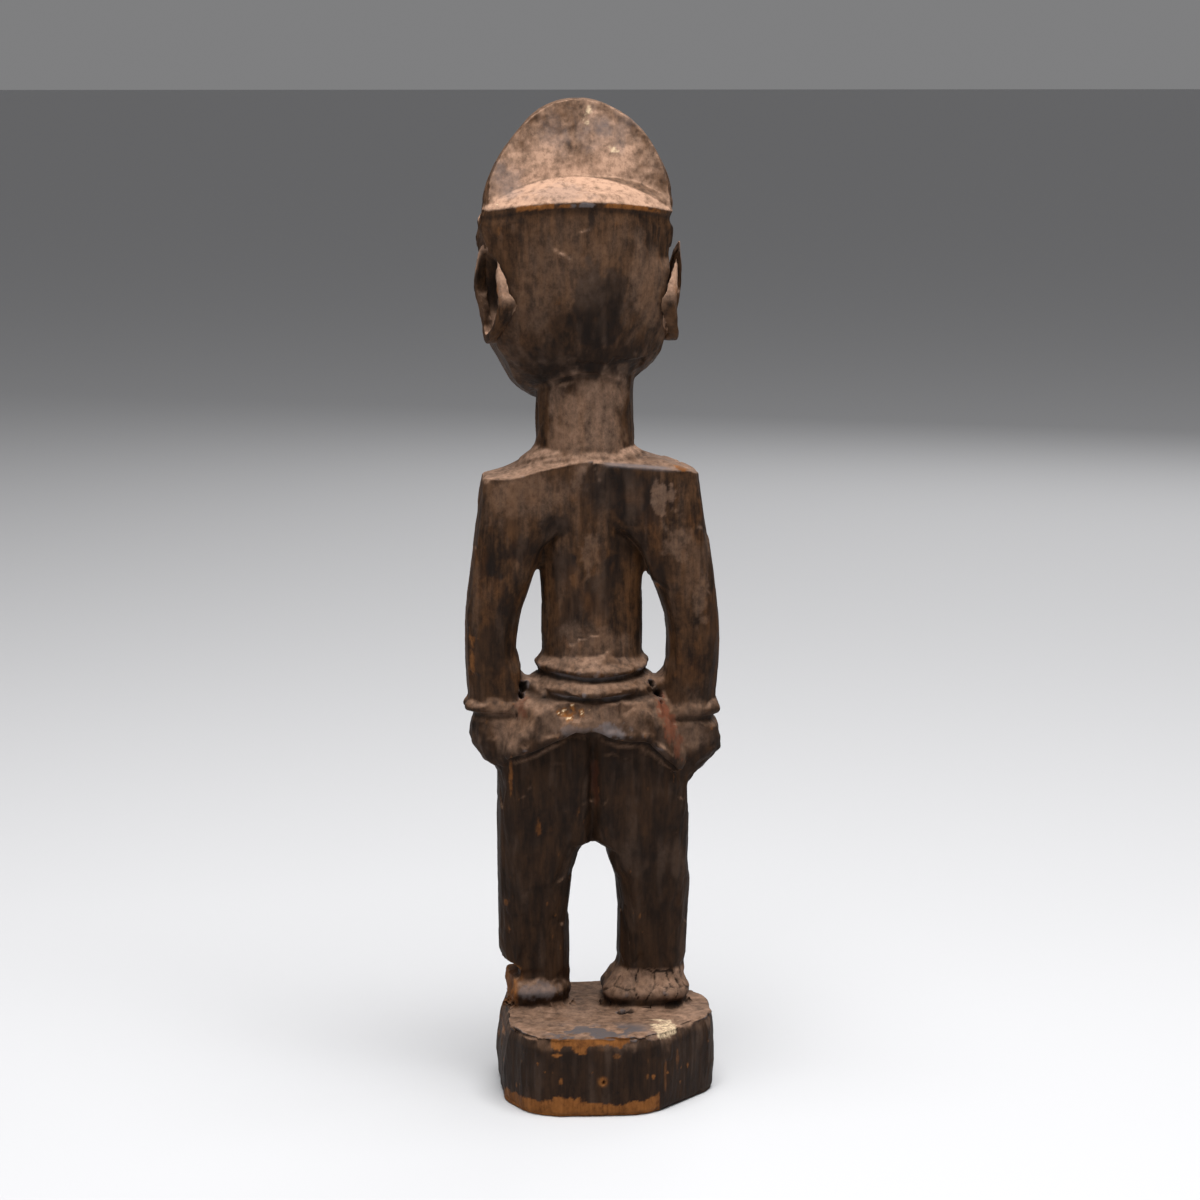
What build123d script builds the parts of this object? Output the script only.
"""Standing carved figure on a round plinth, cut from one log and divided at its carved forms.

The figure faces -Y and its left side is +X.  The origin is on the ground, under the
middle of the figure, and +Z is up.  All sizes are in millimetres.
"""

import os

from build123d import *

# ---------------------------------------------------------------- driving dimensions
TOTAL_HEIGHT = 260.0
LEFT, RIGHT = 1, -1
SIDES = (("left", LEFT), ("right", RIGHT))

PLINTH_HEIGHT = 21.5
PLINTH_HALF_DEPTH = 28.0
PLINTH_LEFT = 24.6
PLINTH_RIGHT = -32.3
PLINTH_CORNER = 14.0
PLINTH_TOP_EDGE = 1.8
PLINTH_BOTTOM_EDGE = 1.4
PLINTH_FLAKE = 1.6  # thickness of the flake lost from the left edge
PLINTH_FLAKE_Z = 10.0

SOLE_HEIGHT = 3.0
TOE_GAP = 0.7
TOE_LENGTH = 5.0
ANKLE_Z = 30.5
THIGH_TOP_Z = 88.0

HIP_RIM_Z = 96.0
HIP_ARCH_BACK_Y = 8.0
HIP_TOP_Z = 108.7
RING_STEP_Z = 113.6
TORSO_BASE_Z = 117.4
RING_LIP = 0.9
WAIST_TILT = 4.0  # degrees; the waist rings dip towards the back

BRACELET_BASE_Z = {LEFT: 102.4, RIGHT: 101.0}
BRACELET_TOP_Z = 105.8
KNUCKLE_Z = {LEFT: 94.3, RIGHT: 91.4}
KNUCKLE_X = {LEFT: 31.7, RIGHT: 33.4}
FINGERTIP_Z = {LEFT: 86.0, RIGHT: 83.2}
ARM_SAW_X = 14.5  # plane between each arm and the torso

SHOULDER_BACK_Y = 10.4
SHOULDER_FRONT_Y = -11.0
SHOULDER_TRIM = {LEFT: 0.0, RIGHT: 1.2}  # how much each arm is narrower at the top
SHOULDER_TRIM_Z = 121.0
NAVEL_Z = 124.5
NECK_BASE_Z = 169.8
NECK_X = 2.1
NECK_Y = -2.6
NECK_HALF_DEPTH = 10.6
NECK_BASE_HALF_WIDTH = 13.3
NECK_TOP_HALF_WIDTH = 12.0
NECK_TOP_Z = 200.0

HEAD_X = 4.5
HEAD_Y = -3.0
HEAD_TURN = 8.0  # degrees; the face looks slightly to the figure's left
HAIR_BASE_Z = 231.3
HAIR_HALF_WIDTH = 24.0
HAIR_HALF_DEPTH = 25.4
HAIR_CENTRE_Y = 4.0
SHELF_HEIGHT = 9.1
SHELF_RADIUS = 36.5
SHELF_EDGE_Y = 22.0
CREST_FOOT_Y = 13.0
CREST_TOP_Y = 6.0
EYE_Z = 211.5
MOUTH_Z = 191.8
EAR_X = 24.8
EAR_Y = 9.0
EAR_Z = 211.2
EAR_SWEEP = 20.0  # degrees; each ear faces out and a little to the back
EAR_THICKNESS = 8.0
EAR_HOLLOW_DEPTH = 2.6

REACH = 100.0  # larger than any part of the figure, for cuts right through it


# ---------------------------------------------------------------- planes and outlines
def level(z):
    """Horizontal plane at height z."""
    return Plane.XY.offset(z)


def waist_level(z):
    """Plane across the body, at height z in the middle and lower at the back."""
    return Plane(origin=(0, 0, z)).rotated((-WAIST_TILT, 0, 0))


def head_level(z):
    """Horizontal plane at height z, centred on the head and turned with it."""
    return Plane(origin=(HEAD_X, HEAD_Y, z)).rotated((0, 0, HEAD_TURN))


def box_outline(plane, inner, outer, front, back, radius):
    """Rounded rectangle between two x values and two y values of a plane."""
    with BuildSketch(plane) as outline:
        with Locations(((inner + outer) / 2, (front + back) / 2)):
            RectangleRounded(abs(outer - inner), back - front, radius)
    return outline.sketch


def oval_outline(plane, half_width, front, back):
    """Oval of two half ellipses meeting at y = 0, with its own front and back depth."""
    with BuildSketch(plane) as outline:
        with BuildLine():
            EllipticalCenterArc((0, 0), half_width, back, start_angle=0, arc_size=180)
            EllipticalCenterArc((0, 0), half_width, front, start_angle=180, arc_size=180)
        make_face()
    return outline.sketch


def head_outline(z, half_width, corner, back, cheek, front):
    """Head section: shallow arc at the back, straight sides and an oval face."""
    with BuildSketch(head_level(z)) as outline:
        with BuildLine():
            ThreePointArc((half_width, corner), (0, back), (-half_width, corner))
            Line((-half_width, corner), (-half_width, cheek))
            EllipticalCenterArc((0, cheek), half_width, cheek - front, start_angle=180, arc_size=180)
            Line((half_width, cheek), (half_width, corner))
        make_face()
    return outline.sketch


def leaf_outline(plane, half_width, half_height, lobe_x):
    """Ear outline: a round top that narrows to the lobe."""
    with BuildSketch(plane) as outline:
        with BuildLine():
            top = EllipticalCenterArc((0, 0), half_width, half_height, start_angle=0, arc_size=180)
            Spline(
                top @ 1,
                (-half_width * 0.7, -half_height * 0.6),
                (lobe_x, -half_height),
                (half_width * 0.55, -half_height * 0.7),
                top @ 0,
            )
        make_face()
    return outline.sketch


os.makedirs("parts", exist_ok=True)

# ---------------------------------------------------------------- plinth
plinth_corners = [
    (PLINTH_LEFT, 12),
    (17, PLINTH_HALF_DEPTH),
    (-13, PLINTH_HALF_DEPTH),
    (PLINTH_RIGHT, 6),
    (PLINTH_RIGHT, -12),
    (-20, -PLINTH_HALF_DEPTH),
    (17, -PLINTH_HALF_DEPTH),
    (PLINTH_LEFT, -14),
]
with BuildPart() as plinth:
    with BuildSketch():
        with BuildLine():
            FilletPolyline(*plinth_corners, radius=PLINTH_CORNER, close=True)
        make_face()
    extrude(amount=PLINTH_HEIGHT)
    fillet(plinth.faces().sort_by(Axis.Z)[-1].edges(), radius=PLINTH_TOP_EDGE)
    fillet(plinth.faces().sort_by(Axis.Z)[0].edges(), radius=PLINTH_BOTTOM_EDGE)
    # the flake is a wedge that is thickest at the top edge
    with BuildSketch(Plane.XZ.offset(-REACH)):
        with BuildLine():
            Polyline(
                (PLINTH_LEFT - PLINTH_FLAKE, PLINTH_HEIGHT),
                (PLINTH_LEFT + PLINTH_FLAKE, PLINTH_HEIGHT),
                (PLINTH_LEFT + PLINTH_FLAKE, PLINTH_FLAKE_Z),
                (PLINTH_LEFT, PLINTH_FLAKE_Z),
                close=True,
            )
        make_face()
    extrude(amount=2 * REACH, mode=Mode.SUBTRACT)
plinth.part.label = "plinth"
export_step(plinth.part, "parts/plinth.step")

# ---------------------------------------------------------------- feet
# inner x, outer x, heel y and toe y of each sole
sole_sizes = {LEFT: (6.2, 24.0, 1.2, -22.4), RIGHT: (3.6, 25.2, 2.6, -22.8)}
for name, side in SIDES:
    inner, outer, heel, toe = sole_sizes[side]
    with BuildPart() as foot:
        sole = box_outline(level(PLINTH_HEIGHT), side * inner, side * outer, toe, heel, 7)
        extrude(sole, amount=SOLE_HEIGHT)
        loft(
            sections=[
                box_outline(level(PLINTH_HEIGHT + SOLE_HEIGHT), side * inner, side * outer, toe, heel, 7),
                box_outline(level(ANKLE_Z), side * 5.9, side * 24.4, -16.4, -0.2, 6),
            ]
        )
        toe_pitch = side * (outer - inner) / 5
        with BuildSketch(level(PLINTH_HEIGHT)):
            with Locations(*[(side * inner + gap * toe_pitch, toe) for gap in range(1, 5)]):
                RectangleRounded(TOE_GAP, TOE_LENGTH, TOE_GAP * 0.45)
        extrude(amount=ANKLE_Z - PLINTH_HEIGHT, mode=Mode.SUBTRACT)
        if side == LEFT:
            # the outer edge of this foot has broken away along the grain
            split(bisect_by=Plane(origin=(21.2, -4, PLINTH_HEIGHT), z_dir=(1, 0.12, -0.1)), keep=Keep.BOTTOM)
    foot.part.label = f"{name}_foot"
    export_step(foot.part, f"parts/{name}_foot.step")

# ---------------------------------------------------------------- legs
# height, inner x, outer x, front y and back y; an inner x below zero reaches past the midplane
leg_shapes = [
    (ANKLE_Z, 5.9, 24.4, -16.4, -0.2),
    (42, 6.2, 24.8, -17.2, 1.0),
    (49, 6.1, 24.9, -17.5, 2.1),
    (55, 5.4, 25.0, -17.6, 3.2),
    (61.6, 4.4, 25.1, -17.6, 4.5),
    (64.8, 3.3, 25.1, -17.5, 5.1),
    (67, 0.2, 25.1, -17.4, 5.4),
    (76, -2.6, 25.1, -17.0, 6.8),
    (THIGH_TOP_Z, -3.0, 25.0, -16.5, HIP_ARCH_BACK_Y),
]
legs = {}
for name, side in SIDES:
    with BuildPart() as leg:
        loft(
            sections=[
                box_outline(level(z), side * inner, side * outer, front, back, 6)
                for z, inner, outer, front, back in leg_shapes
            ],
            ruled=True,
        )
        split(bisect_by=Plane.YZ, keep=Keep.TOP if side == LEFT else Keep.BOTTOM)
        if side == LEFT:
            # a notch is broken out of the outer corner, just above the foot
            with BuildSketch(Plane.XZ.offset(-REACH)):
                with BuildLine():
                    Polyline((21.2, ANKLE_Z), (REACH, ANKLE_Z), (REACH, 33.8), (23.2, 33.8), close=True)
                make_face()
            extrude(amount=2 * REACH, mode=Mode.SUBTRACT)
    legs[side] = leg.part
    leg.part.label = f"{name}_leg"
    export_step(leg.part, f"parts/{name}_leg.step")

# ---------------------------------------------------------------- hips
with BuildPart() as hips:
    loft(
        sections=[
            box_outline(level(THIGH_TOP_Z), -25.0, 25.0, -16.5, 10.5, 7),
            box_outline(level(HIP_RIM_Z), -23.4, 23.4, -15.6, 12.8, 8),
            box_outline(waist_level(HIP_TOP_Z), -16.6, 16.6, -13.4, 10.4, 8.5),
        ]
    )
    # under the rim the back is cut away in an arch, flush with the thighs
    with BuildSketch(Plane.XZ.offset(-HIP_ARCH_BACK_Y)):
        with Locations((0, THIGH_TOP_Z - 3)):
            Ellipse(24, 11)
    extrude(amount=-REACH, mode=Mode.SUBTRACT)
hips.part.label = "hips"
export_step(hips.part, "parts/hips.step")

# ---------------------------------------------------------------- waist rings
# Each ring is widest at its lower lip: half width, front depth and back depth of lip and top.
with BuildPart() as lower_ring:
    loft(
        sections=[
            oval_outline(waist_level(HIP_TOP_Z), 16.0, 15.1, 12.6),
            oval_outline(waist_level(HIP_TOP_Z + RING_LIP), 16.4, 15.6, 13.1),
            oval_outline(waist_level(RING_STEP_Z), 13.9, 13.6, 9.8),
        ],
        ruled=True,
    )
lower_ring.part.label = "lower_waist_ring"
export_step(lower_ring.part, "parts/lower_waist_ring.step")

with BuildPart() as upper_ring:
    loft(
        sections=[
            oval_outline(waist_level(RING_STEP_Z), 14.3, 14.1, 11.0),
            oval_outline(waist_level(RING_STEP_Z + RING_LIP), 14.8, 14.6, 11.5),
            oval_outline(waist_level(TORSO_BASE_Z), 12.9, 13.0, 8.2),
        ],
        ruled=True,
    )
upper_ring.part.label = "upper_waist_ring"
export_step(upper_ring.part, "parts/upper_waist_ring.step")

# ---------------------------------------------------------------- torso and arms
# height, inner x, outer x, front y and back y of an arm
arm_shapes = [
    (BRACELET_TOP_Z, 17.0, 32.3, -8.0, 6.6),
    (110, 17.8, 32.6, -8.3, 7.2),
    (115, 19.4, 32.8, -8.7, 7.9),
    (121, 19.8, 32.9, -9.0, 8.6),
    (128, 18.8, 32.6, -9.4, 9.4),
    (136, 16.0, 31.8, -9.8, 10.0),
    (146, 12.4, 30.4, -10.3, 10.4),
    (158, 10.0, 28.9, -10.8, SHOULDER_BACK_Y),
    (NECK_BASE_Z, 10.0, 27.6, SHOULDER_FRONT_Y, SHOULDER_BACK_Y - 0.6),
]
# where each shoulder starts to fall away from the neck, and how steeply
shoulder_slopes = {LEFT: (13.4, 21.8), RIGHT: (-11.2, -18.2)}
# behind the neck each shoulder also falls to the back, on a plane through this point
shoulder_back_planes = [
    Plane(origin=(3.8, 10.0, 167.6), z_dir=(0.14, 0.29, 1)),
    Plane(origin=(-2.9, 10.0, 167.3), z_dir=(-0.09, 0.33, 1)),
]
# the bust is the torso, shoulders and arms in one, before the arms are sawn off it
with BuildPart() as bust:
    loft(
        sections=[
            oval_outline(waist_level(TORSO_BASE_Z), 12.9, 13.0, 8.2),
            oval_outline(level(125), 12.9, 13.0, 7.4),
            oval_outline(level(137), 13.2, 13.6, 7.2),
            oval_outline(level(150), 14.6, 14.2, 7.6),
            oval_outline(level(162), 14.0, 12.6, 8.4),
        ]
    )
    with BuildSketch(Plane.XZ.offset(-SHOULDER_BACK_Y)):
        with BuildLine():
            arch = ThreePointArc((16.2, 136), (0.3, 151.5), (-15.0, 136))
            Polyline(arch @ 1, (-21, 136), (-21, NECK_BASE_Z), (21, NECK_BASE_Z), (21, 136), arch @ 0)
        make_face()
    extrude(amount=SHOULDER_BACK_Y - SHOULDER_FRONT_Y)
    for name, side in SIDES:
        trim_slope = SHOULDER_TRIM[side] / (NECK_BASE_Z - SHOULDER_TRIM_Z)
        trims = [trim_slope * max(shape[0] - SHOULDER_TRIM_Z, 0) for shape in arm_shapes]
        loft(
            sections=[
                box_outline(level(z), side * inner, side * (outer - trim), front, back, 5.2)
                for (z, inner, outer, front, back), trim in zip(arm_shapes, trims)
            ],
            ruled=True,
        )
    for start_x, slope in shoulder_slopes.values():
        slope_plane = Plane(origin=(start_x, 0, NECK_BASE_Z)).rotated((0, slope, 0))
        split(bisect_by=slope_plane, keep=Keep.BOTTOM)
    for back_plane in shoulder_back_planes:
        split(bisect_by=back_plane, keep=Keep.BOTTOM)

with BuildPart() as torso:
    add(bust.part)
    split(bisect_by=Plane.YZ.offset(ARM_SAW_X), keep=Keep.BOTTOM)
    split(bisect_by=Plane.YZ.offset(-ARM_SAW_X), keep=Keep.TOP)
    with Locations((0, -12.4, NAVEL_Z)):
        Sphere(2.6)
torso.part.label = "torso"
export_step(torso.part, "parts/torso.step")

for name, side in SIDES:
    with BuildPart() as arm:
        add(bust.part)
        split(bisect_by=Plane.YZ.offset(side * ARM_SAW_X), keep=Keep.TOP if side == LEFT else Keep.BOTTOM)
        add(lower_ring.part, mode=Mode.SUBTRACT)
        add(hips.part, mode=Mode.SUBTRACT)
    arm.part.label = f"{name}_arm"
    export_step(arm.part, f"parts/{name}_arm.step")

# ---------------------------------------------------------------- bracelets and hands
for name, side in SIDES:
    base_z = BRACELET_BASE_Z[side]
    with BuildPart() as bracelet:
        loft(
            sections=[
                box_outline(level(base_z), side * 17.6, side * 32.9, -8.7, 7.3, 5.4),
                box_outline(level(base_z + RING_LIP), side * 17.4, side * 33.3, -9.0, 7.7, 5.4),
                box_outline(level(BRACELET_TOP_Z), side * 17.0, side * 32.4, -8.0, 6.7, 5.2),
            ],
            ruled=True,
        )
        add(hips.part, mode=Mode.SUBTRACT)
        add(lower_ring.part, mode=Mode.SUBTRACT)
    bracelet.part.label = f"{name}_bracelet"
    export_step(bracelet.part, f"parts/{name}_bracelet.step")

for name, side in SIDES:
    # the hand lies flat on the hip and tapers to the fingertips on the thigh
    knuckles = box_outline(level(KNUCKLE_Z[side]), side * 17.6, side * KNUCKLE_X[side], -10.4, 7.0, 5)
    with BuildPart() as hand:
        loft(
            sections=[
                box_outline(level(BRACELET_BASE_Z[side]), side * 17.6, side * 31.4, -7.6, 6.2, 5),
                box_outline(level(97), side * 17.6, side * (KNUCKLE_X[side] - 0.2), -9.2, 6.8, 5),
                knuckles,
            ],
            ruled=True,
        )
        fingertips = box_outline(level(FINGERTIP_Z[side]), side * 17.6, side * 25.4, -11.6, 5.6, 3.4)
        loft(sections=[knuckles, fingertips], ruled=True)
        add(hips.part, mode=Mode.SUBTRACT)
        add(legs[side], mode=Mode.SUBTRACT)
    hand.part.label = f"{name}_hand"
    export_step(hand.part, f"parts/{name}_hand.step")

# ---------------------------------------------------------------- head
# height, half width, corner y, back y, cheek y and front y, from the chin to the hair
head_shapes = [
    (183.2, 8.5, -7.5, -5.0, -9.5, -18.5),
    (186.5, 13.4, -2.0, 4.0, -7.0, -20.2),
    (191, 17.4, 4.0, 11.6, -5.0, -21.3),
    (197, 21.0, 8.2, 16.4, -3.0, -22.0),
    (206, 23.4, 11.0, 19.6, -1.0, -22.4),
    (218, 24.0, 12.4, 21.4, 0.0, -22.2),
    (HAIR_BASE_Z, HAIR_HALF_WIDTH, CREST_FOOT_Y, SHELF_EDGE_Y, 0.0, -21.4),
]
with BuildPart() as head:
    loft(sections=[head_outline(*shape) for shape in head_shapes])
    # nose
    loft(
        sections=[
            box_outline(head_level(199.8), -3.6, 3.6, -24.0, -18, 1.6),
            box_outline(head_level(203.5), -3.2, 3.2, -23.9, -18, 1.5),
            box_outline(head_level(215.5), -1.5, 1.5, -22.9, -18, 0.7),
        ]
    )
    # eyes
    with BuildSketch(head_level(EYE_Z - 2)):
        with Locations((8.6, -19.6), (-8.6, -19.6)):
            Ellipse(4.6, 2.4)
    extrude(amount=4)
    # lips
    with BuildSketch(head_level(MOUTH_Z)):
        with Locations((0, -20.4)):
            Ellipse(5.6, 2.8)
    extrude(amount=3.6)
head.part.label = "head"
export_step(head.part, "parts/head.step")

with BuildPart() as neck:
    with BuildSketch(level(NECK_BASE_Z)):
        with Locations((NECK_X, NECK_Y)):
            Ellipse(NECK_BASE_HALF_WIDTH, NECK_HALF_DEPTH)
    with BuildSketch(level(NECK_TOP_Z)):
        with Locations((NECK_X, NECK_Y)):
            Ellipse(NECK_TOP_HALF_WIDTH, NECK_HALF_DEPTH)
    loft()
    add(head.part, mode=Mode.SUBTRACT)
neck.part.label = "neck"
export_step(neck.part, "parts/neck.step")

# ---------------------------------------------------------------- ears
head_across = head_level(EAR_Z).x_dir
head_back = head_level(EAR_Z).y_dir
head_midplane = Plane(origin=head_level(EAR_Z).origin, x_dir=head_back, z_dir=head_across)
ear_outward = head_across.rotate(Axis.Z, EAR_SWEEP)
ear_face = Plane(
    origin=head_level(EAR_Z).from_local_coords(Vector(EAR_X, EAR_Y, 0)),
    x_dir=head_back.rotate(Axis.Z, EAR_SWEEP),
    z_dir=ear_outward,
)

with BuildPart() as left_ear:
    extrude(leaf_outline(ear_face, 6.4, 12.8, -2.6), amount=-EAR_THICKNESS)
    extrude(leaf_outline(ear_face, 4.6, 10.2, -1.8), amount=-EAR_HOLLOW_DEPTH, mode=Mode.SUBTRACT)
    add(head.part, mode=Mode.SUBTRACT)
left_ear.part.label = "left_ear"
export_step(left_ear.part, "parts/left_ear.step")

with BuildPart() as right_ear:
    mirror(left_ear.part, about=head_midplane)
right_ear.part.label = "right_ear"
export_step(right_ear.part, "parts/right_ear.step")

# ---------------------------------------------------------------- hair
# The crest is a dome cut by a plane that leans forwards as it rises.
hair_height = TOTAL_HEIGHT - HAIR_BASE_Z
crest_lean = CREST_FOOT_Y - CREST_TOP_Y
crest_normal = head_back * hair_height + Vector(0, 0, crest_lean)
crest_back = Plane(
    origin=head_level(HAIR_BASE_Z).from_local_coords(Vector(0, CREST_FOOT_Y, 0)),
    x_dir=head_across,
    z_dir=crest_normal,
)
# a builder can't stretch a sphere on a turned plane, so the dome is made first and placed after
half_ball = Sphere(1, arc_size1=0, align=(Align.CENTER, Align.CENTER, Align.MIN), mode=Mode.PRIVATE)
dome = scale(half_ball, by=(HAIR_HALF_WIDTH, HAIR_HALF_DEPTH, hair_height))
dome = head_level(HAIR_BASE_Z).location * Pos(0, HAIR_CENTRE_Y, 0) * dome

with BuildPart() as hair_crest:
    add(dome)
    split(bisect_by=crest_back, keep=Keep.BOTTOM)
hair_crest.part.label = "hair_crest"
export_step(hair_crest.part, "parts/hair_crest.step")

shelf_centre = head_level(HAIR_BASE_Z).from_local_coords(Vector(0, SHELF_EDGE_Y - SHELF_RADIUS, 0))
shelf_side = Plane(origin=shelf_centre, x_dir=head_back, z_dir=head_across)
with BuildPart() as hair_shelf:
    with BuildSketch(shelf_side):
        with BuildLine():
            slope = ThreePointArc(
                (SHELF_RADIUS, 0), (SHELF_RADIUS - 4.4, 5.6), (SHELF_RADIUS - 12, SHELF_HEIGHT)
            )
            Polyline(slope @ 1, (0, SHELF_HEIGHT), (0, 0), slope @ 0)
        make_face()
    revolve(axis=Axis(shelf_centre, (0, 0, 1)))
    split(bisect_by=crest_back, keep=Keep.TOP)
hair_shelf.part.label = "rear_hair_shelf"
export_step(hair_shelf.part, "parts/rear_hair_shelf.step")
